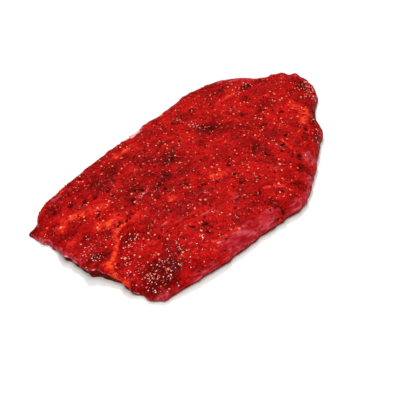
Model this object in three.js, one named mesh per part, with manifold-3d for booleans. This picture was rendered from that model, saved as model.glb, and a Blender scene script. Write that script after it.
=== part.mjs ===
// A raw marinated flank steak, lying flat: one long slab of meat whose grain runs lengthwise,
// blunt at its cut end, where a thin lip overhangs, tapering to a narrow one, with a rounded near side.
// The cracked pepper and the seeds of the marinade are stuck to its top.
//
// Millimetres, +Z up. +X follows the grain to the narrow end, +Y points to the far long side,
// and the origin lies on the surface that the steak rests on, under the middle of its outline.
import * as THREE from "three";
import { mergeVertices } from "three/addons/utils/BufferGeometryUtils.js";
import Module from "manifold-3d";

const wasm = await Module();
wasm.setup();

// ---- Driving dimensions ----
const LENGTH = 360; // from the cut end to the narrow tip
const WIDTH = 208; // across the widest place
const THICKNESS = 19; // in the middle of the slab

// The outline as seen from above, one list of [x, y] for each side, from corner to corner.
const CUT_END = [
  [-164, -79.5],
  [-169, -71.5],
  [-171, -67],
  [-169, -60.5],
  [-174.5, -50.5],
  [-171, -38.5],
  [-172.5, -28.5],
  [-176.5, -17.5],
  [-179, -5.5],
  [-179, 12.5],
  [-177, 33.5],
  [-174.5, 51.5],
  [-176.5, 68.5],
  [-174.5, 78],
  [-163.5, 79.5],
];
const NARROW_END = [
  [141.5, -20.5],
  [159, -11.5],
  [169.5, 3],
  [178, 15],
  [179, 30],
  [172, 50],
  [152.5, 57],
];
const NEAR_SIDE = [
  [-164, -79.5],
  [-140.5, -84.5],
  [-101, -92.5],
  [-61, -96],
  [-26, -100.5],
  [0.5, -103.5],
  [22, -95.5],
  [51, -82],
  [80, -66.5],
  [102.5, -55],
  [120, -35],
  [141.5, -20.5],
];
const FAR_SIDE = [
  [-163.5, 79.5],
  [-150, 88.5],
  [-106, 92.5],
  [-56, 96.5],
  [-21, 97],
  [2, 100.5],
  [31, 100],
  [73.5, 103.5],
  [108.5, 94.5],
  [132, 81.5],
  [142, 67],
  [152.5, 57],
];
const SPINE = [
  [-92, 2],
  [88, 14],
]; // the line that the mesh's rings close in on
const RAGGED_SIDES = 0.5; // how far the outline strays from the lists above
const RAGGED_ENDS = 0.9;
const RAGGED_WAVES = [
  { wavelength: 31, share: 1, phase: 1 },
  { wavelength: 17.3, share: 0.7, phase: 2 },
  { wavelength: 11.2, share: 0.5, phase: 0 },
];

// ---- Mesh ----
const HALF_CELLS_LONG = 34; // cells from the middle to an end
const HALF_CELLS_WIDE = 17; // cells from the spine to a side, which are also the rings
const RING_CROWDING = 1.3; // above 1 puts more rings near the rim
const FLATNESS = 0.05; // cells are merged where the surface stays this close to its form

// ---- Form of the slab ----
const CUT_END_THICKNESS = 5;
const NARROW_END_THICKNESS = 12.5;
const CUT_END_TAPER = 70; // length over which the slab thins out
const NARROW_END_TAPER = 110;
const WAIST = 0.2; // height of the outermost line, as a share of the thickness
const SHOULDER = 11; // width of the rounding above the waist
const NEAR_SHOULDER = 27; // and on the near side, which slopes most in its middle
const NEAR_SLOPE = { x: -15, halfLength: 95, y: -20, width: 50 };
const CRISP_EDGE = { width: 3.5, length: 30, y: -45, fade: 20 }; // the cut end's sharper rounding
const UNDERCUT = 3; // width of the rounding below the waist
// The lip on the cut end stands off the surface below and raises the top for some way inwards.
// Under it, a narrow ledge and a steep step lead down to the surface.
const LIP = { fade: 36, ledge: 0.6, step: 1 };
const LIP_CHANGES = [
  { from: -56, to: -46, rise: 5.2 },
  { from: -35, to: -25, rise: 3.1 },
  { from: -10, to: -3, rise: -2.9 },
  { from: 28, to: 44, rise: -5.4 },
]; // how its height changes along the end

// Broad swells and dips in the top: a place, a radius and a height.
const SWELLS = [
  { x: -150, y: -63, radius: 24, height: 6.4 }, // the near corner's thick lobe
  { x: -147, y: 82, radius: 18, height: 5 }, // the thick meat at the far corner
  { x: -139, y: 34, radius: 26, height: -1.2 },
  { x: 150, y: 8, radius: 20, height: 2.4 },
  { x: 118, y: -22, radius: 18, height: -2.2 },
  { x: 66, y: 78, radius: 30, height: -2 },
  { x: -12, y: -48, radius: 36, height: 1.6 },
  { x: -70, y: 52, radius: 34, height: 1.4 },
];
// The thin flap at the far corner, a step below the meat behind it.
const FLAP = { x: -177, y: 80, radius: 13.5, drop: 3.4 };
// A seam of fat that sinks into the meat, from the cut end inwards.
const SEAM = [
  [-176, -27],
  [-157, -18],
  [-140, -6],
  [-114, 6],
];
const SEAM_DEPTH = 3.2;
const SEAM_HALF_WIDTH = 7;
// Muscle bundles, as waves across the grain: a wavelength, a height and a slant.
const BUNDLES = [
  { wavelength: 37, height: 0.55, slant: 0.07, phase: 0.4 },
  { wavelength: 22, height: 0.35, slant: -0.05, phase: 2.1 },
];
const BEND = { wavelength: 383, amount: 5 }; // the bundles waver sideways along the grain

// ---- Pepper and seeds ----
const GRAINS = 140;
const GRAIN_RADIUS = [1.1, 1.9];
const SEED_SHARE = 0.4; // the rest is cracked pepper
const SEED_SHAPE = [1.25, 0.85, 0.62]; // half axes, in radii
const PEPPER_SHAPE = [1.15, 0.8, 0.85];
const GRAIN_RISE = 0.12; // how far a grain's middle stands above the meat, in radii
const BARE_RIM = 9; // no grain sits nearer to the outline than this
const APART = 11; // and no nearer to another grain

const clamp01 = (t) => Math.min(1, Math.max(0, t));
const smooth = (t) => clamp01(t) ** 2 * (3 - 2 * clamp01(t));
const bump = (t) => Math.exp(-t * t);
const wave = (distance, wavelength, phase) => Math.sin((2 * Math.PI * distance) / wavelength + phase);

// ---- Outline ----
function sideCurve(points, raggedness) {
  const curve = new THREE.SplineCurve(points.map(([x, y]) => new THREE.Vector2(x, y)));
  const length = curve.getLength();
  return (fraction) => {
    const place = curve.getPointAt(fraction);
    const along = curve.getTangentAt(fraction);
    const run = fraction * length;
    const fade = Math.sin(Math.PI * fraction) ** 0.5; // corners stay where they are
    let stray = 0;
    for (const w of RAGGED_WAVES) stray += w.share * wave(run, w.wavelength, w.phase);
    return place.add(new THREE.Vector2(along.y, -along.x).multiplyScalar(raggedness * fade * stray));
  };
}
const cutEnd = sideCurve(CUT_END, RAGGED_ENDS);
const narrowEnd = sideCurve(NARROW_END, RAGGED_ENDS);
const nearSide = sideCurve(NEAR_SIDE, RAGGED_SIDES);
const farSide = sideCurve(FAR_SIDE, RAGGED_SIDES);
const spine = (fraction) =>
  new THREE.Vector2(...SPINE[0]).lerp(new THREE.Vector2(...SPINE[1]), fraction);

// A place in the grid of cells, counted from the middle, as a point inside the outline.
function plan(column, row) {
  const ring = Math.min(HALF_CELLS_LONG - Math.abs(column), HALF_CELLS_WIDE - Math.abs(row));
  const spread = 1 - (ring / HALF_CELLS_WIDE) ** RING_CROWDING;
  const onLongSide = HALF_CELLS_WIDE - Math.abs(row) === ring;
  if (onLongSide) {
    const half = HALF_CELLS_LONG - ring;
    const fraction = (column + half) / (2 * half);
    const edge = (row < 0 ? nearSide : farSide)(fraction);
    return spine(fraction).lerp(edge, spread);
  }
  const half = HALF_CELLS_WIDE - ring;
  const fraction = (row + half) / (2 * half);
  const edge = (column < 0 ? cutEnd : narrowEnd)(fraction);
  return spine(column < 0 ? 0 : 1).lerp(edge, spread);
}

function gridPoints() {
  const rows = [];
  for (let row = -HALF_CELLS_WIDE; row <= HALF_CELLS_WIDE; row++) {
    const points = [];
    for (let column = -HALF_CELLS_LONG; column <= HALF_CELLS_LONG; column++) points.push(plan(column, row));
    rows.push(points);
  }
  return rows;
}

// The grid's places, brought to the exact length and width about the origin.
function fitted(rows) {
  const box = new THREE.Box2().setFromPoints(rows.flat());
  const centre = box.getCenter(new THREE.Vector2());
  const size = box.getSize(new THREE.Vector2());
  const scale = new THREE.Vector2(LENGTH / size.x, WIDTH / size.y);
  return rows.map((row) => row.map((point) => point.sub(centre).multiply(scale)));
}

function rimOf(rows) {
  const last = rows.length - 1;
  const end = rows[0].length - 1;
  return [
    ...rows[0],
    ...rows.slice(1, last).map((row) => row[end]),
    ...[...rows[last]].reverse(),
    ...rows.slice(1, last).map((row) => row[0]).reverse(),
  ];
}

function distanceToLine(point, line, closed) {
  let best = Infinity;
  const count = closed ? line.length : line.length - 1;
  for (let i = 0; i < count; i++) {
    const a = line[i];
    const b = line[(i + 1) % line.length];
    const run = b.clone().sub(a);
    const t = clamp01(point.clone().sub(a).dot(run) / run.lengthSq());
    best = Math.min(best, point.distanceTo(a.clone().addScaledVector(run, t)));
  }
  return best;
}

const places = fitted(gridPoints());
const rim = rimOf(places);
const seamLine = SEAM.map(([x, y]) => new THREE.Vector2(x, y));

// ---- Heights ----
function lipRise({ x, y }) {
  let rise = 0;
  for (const c of LIP_CHANGES) rise += c.rise * smooth((y - c.from) / (c.to - c.from));
  return rise * (1 - smooth((x + LENGTH / 2) / LIP.fade));
}

function thickness({ x, y }) {
  const fromCutEnd = smooth((x + LENGTH / 2) / CUT_END_TAPER);
  const fromNarrowEnd = smooth((LENGTH / 2 - x) / NARROW_END_TAPER);
  let height = THICKNESS;
  height -= (THICKNESS - CUT_END_THICKNESS) * (1 - fromCutEnd);
  height -= (THICKNESS - NARROW_END_THICKNESS) * (1 - fromNarrowEnd);
  for (const s of SWELLS) height += s.height * bump(Math.hypot(x - s.x, y - s.y) / s.radius);
  height -= FLAP.drop * bump((Math.hypot(x - FLAP.x, y - FLAP.y) / FLAP.radius) ** 3);
  const sideways = y + BEND.amount * wave(x, BEND.wavelength, 0);
  for (const b of BUNDLES) height += b.height * wave(sideways + b.slant * x, b.wavelength, b.phase);
  const seam = distanceToLine(new THREE.Vector2(x, y), seamLine, false);
  return height - SEAM_DEPTH * bump(seam / SEAM_HALF_WIDTH);
}

// A quarter of an ellipse, from 0 at the outline to 1 a rounding's width inside it.
const rounding = (inside, width) => Math.sqrt(1 - (1 - clamp01(inside / width)) ** 2);

function shoulder({ x, y }) {
  const across = smooth((NEAR_SLOPE.y - y) / NEAR_SLOPE.width);
  const nearSlope = across * bump((x - NEAR_SLOPE.x) / NEAR_SLOPE.halfLength);
  const width = SHOULDER + (NEAR_SHOULDER - SHOULDER) * nearSlope;
  const atCutEnd = 1 - smooth((x + LENGTH / 2) / CRISP_EDGE.length);
  const crisp = atCutEnd * (1 - smooth((CRISP_EDGE.y - y) / CRISP_EDGE.fade));
  return width + (CRISP_EDGE.width - width) * crisp;
}

function topHeight(place, inside) {
  const share = WAIST + (1 - WAIST) * rounding(inside, shoulder(place));
  return lipRise(place) + thickness(place) * share;
}

function bottomHeight(place, inside) {
  const share = WAIST * (1 - rounding(inside, UNDERCUT));
  const underLip = 1 - smooth((inside - LIP.ledge) / LIP.step);
  return lipRise(place) * underLip + thickness(place) * share;
}

// ---- Solids ----
function solidOf(positions, triangles) {
  return new wasm.Manifold(
    new wasm.Mesh({
      numProp: 3,
      vertProperties: new Float32Array(positions),
      triVerts: new Uint32Array(triangles),
    }),
  );
}

// The slab: a top and a bottom sheet of the same cells, which share the rim's points.
function slab() {
  const positions = [];
  const addSheet = (heightOf, shared) =>
    places.map((row, r) =>
      row.map((place, c) => {
        const onRim = r === 0 || c === 0 || r === places.length - 1 || c === row.length - 1;
        if (onRim && shared) return shared[r][c];
        const inside = onRim ? 0 : distanceToLine(place, rim, true);
        positions.push(place.x, place.y, heightOf(place, inside));
        return positions.length / 3 - 1;
      }),
    );
  const top = addSheet(topHeight);
  const bottom = addSheet(bottomHeight, top);

  const triangles = [];
  for (let r = 0; r + 1 < places.length; r++)
    for (let c = 0; c + 1 < places[0].length; c++) {
      const corners = (sheet) => [sheet[r][c], sheet[r][c + 1], sheet[r + 1][c + 1], sheet[r + 1][c]];
      const alongRings = (r < HALF_CELLS_WIDE) === (c < HALF_CELLS_LONG); // which way a cell is split
      const split = ([p, q, s, t]) => (alongRings ? [p, q, s, p, s, t] : [p, q, t, q, s, t]);
      triangles.push(...split(corners(top)), ...split(corners(bottom)).reverse());
    }
  return solidOf(positions, triangles);
}

// The n-th number of a seeded random row, from 0 to 1.
function draw(n, row) {
  const t = Math.sin(n * 12.9898 + row * 78.233) * 43758.5453;
  return t - Math.floor(t);
}

// One grain, a rough lump or a flattened seed, part sunk in the meat.
function grain(n, x, y, top) {
  const radius = GRAIN_RADIUS[0] + (GRAIN_RADIUS[1] - GRAIN_RADIUS[0]) * draw(n, 3);
  const isSeed = draw(n, 4) < SEED_SHARE;
  const geometry = new THREE.IcosahedronGeometry(radius, 0);
  geometry.deleteAttribute("normal");
  geometry.deleteAttribute("uv");
  const lump = mergeVertices(geometry);
  const turn = 2 * Math.PI * draw(n, 5);
  if (isSeed) lump.scale(...SEED_SHAPE).rotateZ(turn);
  else lump.rotateX(turn).scale(...PEPPER_SHAPE).rotateZ(3 * turn);
  lump.translate(x, y, top + GRAIN_RISE * radius);
  return solidOf(lump.attributes.position.array, lump.index.array);
}

// The slab with its grains, at seeded random places that keep apart from each other.
function withGrains(body) {
  const surface = meshOf(body, "bare", new THREE.MeshStandardMaterial());
  const down = new THREE.Vector3(0, 0, -1);
  const solids = [];
  const taken = [];
  for (let n = 1; solids.length < GRAINS; n++) {
    const x = LENGTH * (draw(n, 1) - 0.5);
    const y = WIDTH * (draw(n, 2) - 0.5);
    const place = new THREE.Vector2(x, y);
    if (!insideOutline(place) || distanceToLine(place, rim, true) < BARE_RIM) continue;
    if (taken.some((other) => other.distanceTo(place) < APART)) continue;
    taken.push(place);
    const above = new THREE.Vector3(x, y, 3 * THICKNESS);
    const [hit] = new THREE.Raycaster(above, down).intersectObject(surface);
    solids.push(grain(n, x, y, hit.point.z));
  }
  return solids.reduce((joined, solid) => joined.add(solid), body);
}

function insideOutline(place) {
  let inside = false;
  rim.forEach((a, i) => {
    const b = rim[(i + 1) % rim.length];
    const crosses = a.y > place.y !== b.y > place.y;
    if (crosses && place.x < a.x + ((b.x - a.x) * (place.y - a.y)) / (b.y - a.y)) inside = !inside;
  });
  return inside;
}

function meshOf(solid, name, material) {
  const { numProp, vertProperties, triVerts } = solid.getMesh();
  const points = new Float32Array((vertProperties.length / numProp) * 3);
  for (let i = 0; i * 3 < points.length; i++)
    points.set(vertProperties.subarray(i * numProp, i * numProp + 3), i * 3);
  const geometry = new THREE.BufferGeometry()
    .setAttribute("position", new THREE.BufferAttribute(points, 3))
    .setIndex(new THREE.BufferAttribute(triVerts, 1));
  geometry.computeVertexNormals();
  const mesh = new THREE.Mesh(geometry, material);
  mesh.name = name;
  return mesh;
}

const marinatedMeat = new THREE.MeshStandardMaterial({ color: 0xb3181a, roughness: 0.35, metalness: 0 });

const steak = new THREE.Group();
steak.add(meshOf(withGrains(slab().simplify(FLATNESS)), "flank_steak", marinatedMeat));

export default steak;
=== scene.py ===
"""A raw flank steak in a red chilli and pepper marinade, lying flat.

The meat is one sculpted slab whose grain runs lengthwise. The spice on it is real geometry:
cracked pepper, pale seeds, chilli flakes, garlic granules and ground spice. Forms are worked
out in millimetres, from the same driving dimensions as the solid, and written in metres.
"""

import itertools
import math

import bpy
import numpy as np
from bpy.props import FloatProperty, FloatVectorProperty, IntProperty, PointerProperty
from mathutils import Matrix, Quaternion, Vector
from mathutils.bvhtree import BVHTree
from mathutils.kdtree import KDTree


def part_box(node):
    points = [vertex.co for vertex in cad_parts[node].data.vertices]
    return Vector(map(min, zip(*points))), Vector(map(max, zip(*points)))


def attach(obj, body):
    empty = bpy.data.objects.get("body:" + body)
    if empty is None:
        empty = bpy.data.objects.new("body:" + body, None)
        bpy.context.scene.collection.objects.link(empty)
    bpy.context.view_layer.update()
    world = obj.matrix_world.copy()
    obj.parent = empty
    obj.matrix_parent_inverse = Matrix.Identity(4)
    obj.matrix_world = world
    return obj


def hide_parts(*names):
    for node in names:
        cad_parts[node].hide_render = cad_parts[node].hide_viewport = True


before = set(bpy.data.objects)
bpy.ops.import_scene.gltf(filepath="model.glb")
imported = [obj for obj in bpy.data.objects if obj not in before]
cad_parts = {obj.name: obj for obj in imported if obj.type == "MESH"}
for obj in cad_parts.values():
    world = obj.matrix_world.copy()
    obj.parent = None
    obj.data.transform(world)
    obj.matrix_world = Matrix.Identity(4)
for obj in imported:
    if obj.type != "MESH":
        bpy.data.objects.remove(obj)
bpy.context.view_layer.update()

bl_info = {
    "name": "Marinated Flank Steak",
    "version": (1, 0, 0),
    "blender": (4, 5, 0),
    "location": "View3D > Sidebar > Steak",
    "description": "Models a raw flank steak in a red chilli and pepper marinade",
    "category": "Add Mesh",
}

MM = 0.001
SOLID = "flank_steak"
steak_low, steak_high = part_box(SOLID)
LENGTH = (steak_high.x - steak_low.x) / MM
WIDTH = (steak_high.y - steak_low.y) / MM

# ---- Form of the slab, in millimetres, as in the solid ----
THICKNESS = 19
CUT_END = [(-164, -79.5), (-169, -71.5), (-171, -67), (-169, -60.5), (-174.5, -50.5), (-171, -38.5),
           (-172.5, -28.5), (-176.5, -17.5), (-179, -5.5), (-179, 12.5), (-177, 33.5), (-174.5, 51.5),
           (-176.5, 68.5), (-174.5, 78), (-163.5, 79.5)]
NARROW_END = [(141.5, -20.5), (159, -11.5), (169.5, 3), (178, 15), (179, 30), (172, 50), (152.5, 57)]
NEAR_SIDE = [(-164, -79.5), (-140.5, -84.5), (-101, -92.5), (-61, -96), (-26, -100.5), (0.5, -103.5),
             (22, -95.5), (51, -82), (80, -66.5), (102.5, -55), (120, -35), (141.5, -20.5)]
FAR_SIDE = [(-163.5, 79.5), (-150, 88.5), (-106, 92.5), (-56, 96.5), (-21, 97), (2, 100.5),
            (31, 100), (73.5, 103.5), (108.5, 94.5), (132, 81.5), (142, 67), (152.5, 57)]
SPINE = [(-92, 2), (88, 14)]
RAGGED_SIDES = 0.5
RAGGED_ENDS = 0.9
RAGGED_WAVES = [(31, 1, 1), (17.3, 0.7, 2), (11.2, 0.5, 0)]  # wavelength, share, phase
SPAN_STEPS = 40  # steps of the curve from one point of the outline to the next
SIDE_STEPS = 600  # even steps along each side
CUT_END_THICKNESS = 5
NARROW_END_THICKNESS = 12.5
CUT_END_TAPER = 70
NARROW_END_TAPER = 110
WAIST = 0.2  # height of the outermost line, as a share of the thickness
WAIST_BAND = 0.04  # half the height of the upright band there
SHOULDER = 11
NEAR_SHOULDER = 27
NEAR_SLOPE_MIDDLE = (-15, -20)
NEAR_SLOPE_SIZE = (95, 50)
CRISP_SHOULDER = 3.5
CRISP_WIDTH = 30
CRISP_FROM_Y = -45
CRISP_FADE = 20
UNDERCUT = 3
LIP_CHANGES = [(-56, -46, 5.2), (-35, -25, 3.1), (-10, -3, -2.9), (28, 44, -5.4)]  # from y, to y, rise
LIP_FADE = 36
LIP_LEDGE = 0.6
LIP_STEP = 1
SWELLS = [  # x, y, radius, height
    (-150, -63, 24, 6.4), (-147, 82, 18, 5), (-139, 34, 26, -1.2),
    (150, 8, 20, 2.4), (118, -22, 18, -2.2), (66, 78, 30, -2), (-12, -48, 36, 1.6), (-70, 52, 34, 1.4),
]
FLAP = (-177, 80)  # the thin flap at the far corner, a step below the meat behind it
FLAP_RADIUS = 13.5
FLAP_DROP = 3.4
SEAM = [(-176, -27), (-157, -18), (-140, -6), (-114, 6)]
SEAM_DEPTH = 3.2
SEAM_HALF_WIDTH = 7
BUNDLES = [(37, 0.55, 0.07, 0.4), (22, 0.35, -0.05, 2.1)]  # wavelength, height, slant, phase
BEND_WAVELENGTH = 383
BEND = 5

# ---- Fine surface ----
LIP_JAGS = 0.5  # how uneven the step under the lip is
LIP_JAG_LENGTH = 5
COLUMNS = 340  # cells along the steak
ROWS = 210  # cells across it
RING_CROWDING = 1.3
UNDERSIDE_KEPT = 0.62  # share of all faces left once the flat underside is thinned out
FAN = 0.9  # how far the fibres spread apart towards the narrow end, on the near half
FAN_LINE = 30
WANDER_LENGTH = 45  # the fibres wander a little along and across, over about this length
WANDER_ALONG = 6
WANDER_ACROSS = 3.5
PATCH_FADE = 0.8  # how soon a patch fades out, against its half length and half width
PATCH_BREAKS = (9, 4.5, 6)  # size of what breaks a patch up, along, across and through the fibres
PATCH_RAGGEDNESS = 0.5
PATCH_PEAK = 1.2

# Patches as x, y, half length, half width, turn in degrees and strength.
FAT_PATCHES = [
    (-112, 1, 7, 4, 0, 0.9), (-128, 13, 10, 7, 0, 1.0), (-138, 21, 6, 6, 0, 1.0), (-165, 28, 8, 4, 10, 0.9),
    (-164, -18, 8, 5, 20, 0.9), (-127, -34, 6, 2, -10, 0.7), (-126, -69, 8, 3, 0, 0.7),
    (-117, -73, 5, 2, 0, 0.7), (-129, 82, 6, 4, 0, 0.8), (-59, 77, 5, 4, 0, 0.9), (-42, 76, 10, 4, -8, 1.0),
    (-76, -12, 8, 5, 0, 0.8), (-24, -27, 9, 4, 0, 1.0), (-30, -21, 6, 4, 0, 0.8), (-60, -62, 8, 4, 0, 0.5),
    (-74, -62, 5, 3, 0, 0.6), (-40, -53, 4, 4, 0, 0.7), (-35, -65, 7, 3, 0, 0.5), (60, 19, 9, 6, 0, 0.6),
    (51, 75, 7, 2.5, 10, 0.6), (91, 56, 12, 3.5, 0, 0.9), (76, 57, 8, 3.5, 0, 0.7),
    (111, 25, 9, 3, -5, 0.9), (26, -83, 5, 4, 0, 0.6), (84, -75, 8, 3, 20, 0.5),
]
# Lines of fat, as half width, strength and the places along each.
FAT_VEINS = [
    (4.5, 0.85, [(-158, 51), (-151, 54), (-142, 51), (-134, 45), (-126, 39), (-118, 33)]),
    (2.5, 0.95, [(-113, 4), (-126, 5), (-137, 3), (-142, -5), (-149, -10), (-160, -16), (-170, -26),
                (-173, -48)]),
    (2.0, 0.7, [(-105, -76), (-94, -80), (-72, -83)]),
    (1.8, 0.9, [(-17, -71), (-8, -77), (-3, -82)]),
    (2.2, 0.7, [(54, -40), (50, -53)]),
    (4.5, 0.95, [(119, -5), (117, -14), (114, -22), (106, -30), (91, -39)]),
    (3.5, 0.85, [(121, -22), (109, -32)]),
]
# Dark spice paste. The patches on the far corner's flap and on the near corner's lobe are partly painted
# shade.
PASTE_AND_SHADE_PATCHES = [
    (-150, -67, 17, 12, -10, 1.4), (-161, -68, 10, 10, 0, 0.9), (-166, -4, 12, 9, -30, 1.3),
    (-171, -50, 8, 16, 0, 0.6), (-103, 62, 20, 12, -5, 0.95), (-135, 60, 6, 5, 0, 0.9),
    (-126, 52, 7, 4, 0, 0.6), (-171, 41, 12, 6, 0, 0.8), (-174, 78, 8, 8, 0, 1.3),
    (-155, 22, 7, 4, 20, 0.9), (-133, -14, 8, 7, 0, 1.0), (-154, 38, 8, 5, 0, 0.8),
    (-97, 18, 8, 4, 30, 0.8), (-80, 62, 17, 10, 0, 0.9), (-86, 26, 12, 7, 10, 0.9),
    (-67, 12, 13, 7, 20, 1.0), (-53, 16, 6, 9, 0, 0.9), (-61, 27, 6, 5, 0, 0.8),
    (-32, 31, 13, 10, -20, 1.1), (-51, 65, 9, 6, 0, 0.7), (-39, 4, 14, 4, 10, 0.7), (-51, -5, 6, 4, 0, 0.8),
    (-27, 9, 8, 5, 0, 0.7), (-61, 42, 20, 9, 0, 0.7), (31, 33, 15, 8, -15, 1.1), (23, 69, 7, 4, 0, 0.8),
    (24, 43, 9, 6, 0, 0.7), (45, 70, 8, 4, 0, 0.6), (92, 70, 14, 7, -15, 0.8), (69, 22, 5, 6, 0, 0.8),
    (8, 25, 9, 4, 20, 0.8), (29, -26, 10, 4, 30, 0.9), (37, -2, 12, 5, 0, 0.5), (55, -4, 9, 5, 0, 0.5),
    (79, -18, 6, 4, 0, 0.7), (26, -42, 5, 5, 0, 0.7), (64, -56, 12, 5, 10, 0.8), (83, -47, 9, 3, 30, 0.9),
    (29, -79, 6, 5, 0, 0.8), (9, -89, 9, 5, 0, 0.8), (-27, -90, 6, 10, 0, 0.9), (-85, -60, 5, 4, 0, 0.9),
    (-23, -48, 6, 5, 0, 0.7), (101, -46, 14, 6, 40, 0.9), (83, -60, 10, 5, 30, 0.8),
    (96, -8, 7, 4, 30, 0.7), (115, 55, 12, 5, -5, 1.0), (136, 51, 9, 5, -20, 0.8), (139, 8, 10, 6, 10, 0.8),
    (151, 3, 13, 9, 35, 1.0), (167, 10, 8, 10, 0, 0.9), (121, -32, 12, 4, 35, 0.9),
    (-119, -84, 20, 4, 0, 0.4), (-109, -45, 8, 5, 0, 0.6), (99, 38, 8, 4, 0, 0.6), (111, 10, 14, 6, 0, 0.4),
    (-141, 75, 12, 7, 0, 0.6), (-112, 78, 22, 9, 0, 0.7),
]
BARE_PATCHES = [
    (-26, 92, 13, 3.5, -3, 1.4), (-138, 79, 8, 3, 0, 0.7), (-88, 15, 7, 2.2, 0, 0.9),
    (-73, -50, 9, 1.8, -8, 0.9), (-116, -39, 6, 1.8, -25, 0.8), (-127, -37, 4, 1.8, -15, 0.8),
    (-108, -29, 6, 1.8, 0, 0.7), (-93, -37, 7, 2, -10, 0.7), (-43, -57, 6, 2.2, -15, 0.8),
    (-44, 11, 6, 2, -10, 0.6), (-96, -83, 4, 3, 0, 0.8), (-79, -90, 24, 7, -3, 1.0),
    (-41, -94, 15, 6, 0, 0.9), (-9, -103, 24, 5, 3, 1.1), (23, -93, 16, 5, 25, 0.8),
    (50, -75, 9, 7, 0, 1.0), (13, -61, 17, 5, -8, 0.5), (127, 70, 17, 8, -45, 0.9),
    (111, 84, 12, 6, -20, 0.6), (151, -18, 16, 4, 35, 0.9), (173, 30, 6, 12, 0, 0.8),
    (-161, -87, 18, 5, 5, 0.9), (-128, -90, 22, 5, -5, 0.9), (-164, -77, 8, 4, -30, 1.1),
    (95, -60, 14, 4, 35, 0.5), (-175, 70, 6, 12, 0, 0.4), (20, -50, 18, 4, -10, 0.4),
]
# Pale skin and painted highlights, such as the light line along the step above the far corner's flap.
PALE_AND_HIGHLIGHT_PATCHES = [
    (-22, 89, 13, 3.5, 0, 1.2), (-88, 15, 5, 1.5, 0, 0.7), (-96, -83, 3, 2.5, 0, 0.8),
    (-120, -38, 5, 1, -20, 0.6), (-73, -50, 7, 1, -8, 0.6), (-164, 77, 5, 1.2, 60, 1.0),
    (-175, 5, 2, 9, 0, 0.5),
]
# Clusters of pale wet granules, as x, y, half length, half width, turn and strength.
GRANULE_PATCHES = [
    (-152, -66, 17, 13, 0, 0.85), (-173, -62, 6, 6, 0, 1.0), (-159, -79, 9, 4, 0, 0.9),
    (-158, -30, 7, 8, 0, 0.8), (-138, -17, 6, 5, 0, 1.0), (-167, -4, 6, 6, 0, 1.0),
    (-162, -47, 10, 9, 0, 0.8), (-153, 6, 7, 5, 0, 0.7), (-166, 10, 6, 5, 0, 0.5), (-155, 21, 5, 4, 0, 0.6),
    (-169, 40, 8, 4, 0, 0.4), (26, 46, 5, 7, 0, 0.8), (115, 55, 11, 5, 0, 0.7), (155, -3, 18, 8, 45, 0.8),
    (-87, 17, 8, 3, 0, 0.6), (89, -60, 8, 5, 30, 0.5), (77, -24, 6, 5, 0, 0.4), (23, 70, 5, 3, 0, 0.4),
    (-146, 5, 8, 8, 0, 0.4), (-127, -76, 14, 8, 0, 0.3),
]
# The peppercorn pieces that stand out most, as x and y.
LARGE_PEPPER = [
    (-9, -24), (-16, -36), (-23, -49), (-25, -72), (-34, -30), (-85, -59), (-84, 18), (25, -27), (-135, 60),
    (-88, 23), (-69, 3), (-61, 27), (-36, 31), (-29, 30), (-53, 16), (-67, 12), (-51, -6), (-46, -22),
    (31, 32), (24, 42), (45, 71), (21, 69), (69, 21), (87, 12), (96, -9), (47, -45), (62, -38), (26, -42),
    (42, -68), (30, -77), (83, -48), (114, 54), (121, 53), (97, 38), (109, 24), (139, 8), (151, 4),
    (159, 10), (-148, 69), (-125, 53), (-105, 80), (-153, 21), (-128, 31), (-99, 17), (-125, 8), (-119, 5),
    (-121, -37), (-95, -53), (-92, -67), (-130, -88), (-27, -88), (-26, -98), (39, -50), (63, -9), (7, -87),
    (-103, 44), (-116, 48),
]


# ---- Numbers ----
# Large odd numbers that make neighbouring cells unlike each other.
MIXERS = [np.uint32(n) for n in (374761393, 668265263, 2654435769, 1274126177, 2246822519)]
NOISE_LAYERS = 3
LAYERS_PEAK = 1.6  # about how far the layers reach when they are added up


def smooth(t):
    """A soft step from 0 to 1."""
    t = np.clip(t, 0, 1)
    return t * t * (3 - 2 * t)


def bump(t):
    """A bell that is 1 at 0 and fades out on both sides."""
    return np.exp(-t * t)


def wave(distance, wavelength, phase=0.0):
    return np.sin(2 * math.pi * distance / wavelength + phase)


def steady_random(cells, seed):
    """A number from 0 to 1 for each whole-numbered cell, always the same for the same cell."""
    x, y, z = (cells[:, i].astype(np.int64).astype(np.uint32) * MIXERS[i] for i in range(3))
    mixed = x + y + z + np.uint32(seed * int(MIXERS[3]) % 2**32)
    mixed = (mixed ^ (mixed >> np.uint32(13))) * MIXERS[3]
    mixed = (mixed ^ (mixed >> np.uint32(15))) * MIXERS[4]
    return (mixed ^ (mixed >> np.uint32(16))) / 2.0**32


def noise(points, seed):
    """Smooth noise from -1 to 1, with features about one unit across."""
    base = np.floor(points)
    ease = smooth(points - base)
    total = np.zeros(len(points))
    for corner in itertools.product((0, 1), repeat=3):
        weight = np.prod(np.where(np.array(corner) == 1, ease, 1 - ease), axis=1)
        total += weight * steady_random(base + np.array(corner), seed)
    return 2 * total - 1


def layered_noise(points, seed):
    """Noise with ever finer and weaker layers on it."""
    return sum(noise(points * 2**i, seed + i) / 2**i for i in range(NOISE_LAYERS)) / LAYERS_PEAK


# ---- Outline and heights ----
def spline(points):
    """A Catmull-Rom curve through the points, as many short steps."""
    points = np.array(points, float)
    padded = np.vstack([points[0], points, points[-1]])
    t = np.linspace(0, 1, SPAN_STEPS, endpoint=False)[:, None]
    spans = []
    for a, b, c, d in zip(padded, padded[1:], padded[2:], padded[3:]):
        out, back = (c - a) / 2, (d - b) / 2
        cubed, squared = 2 * b - 2 * c + out + back, 3 * c - 3 * b - 2 * out - back
        spans.append(cubed * t**3 + squared * t**2 + out * t + b)
    return np.vstack([*spans, points[-1]])


def follow(line, marks, distances):
    """The places at some distances along a line whose points lie at the marks."""
    return np.stack([np.interp(distances, marks, line[:, i]) for i in (0, 1)], axis=1)


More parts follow.
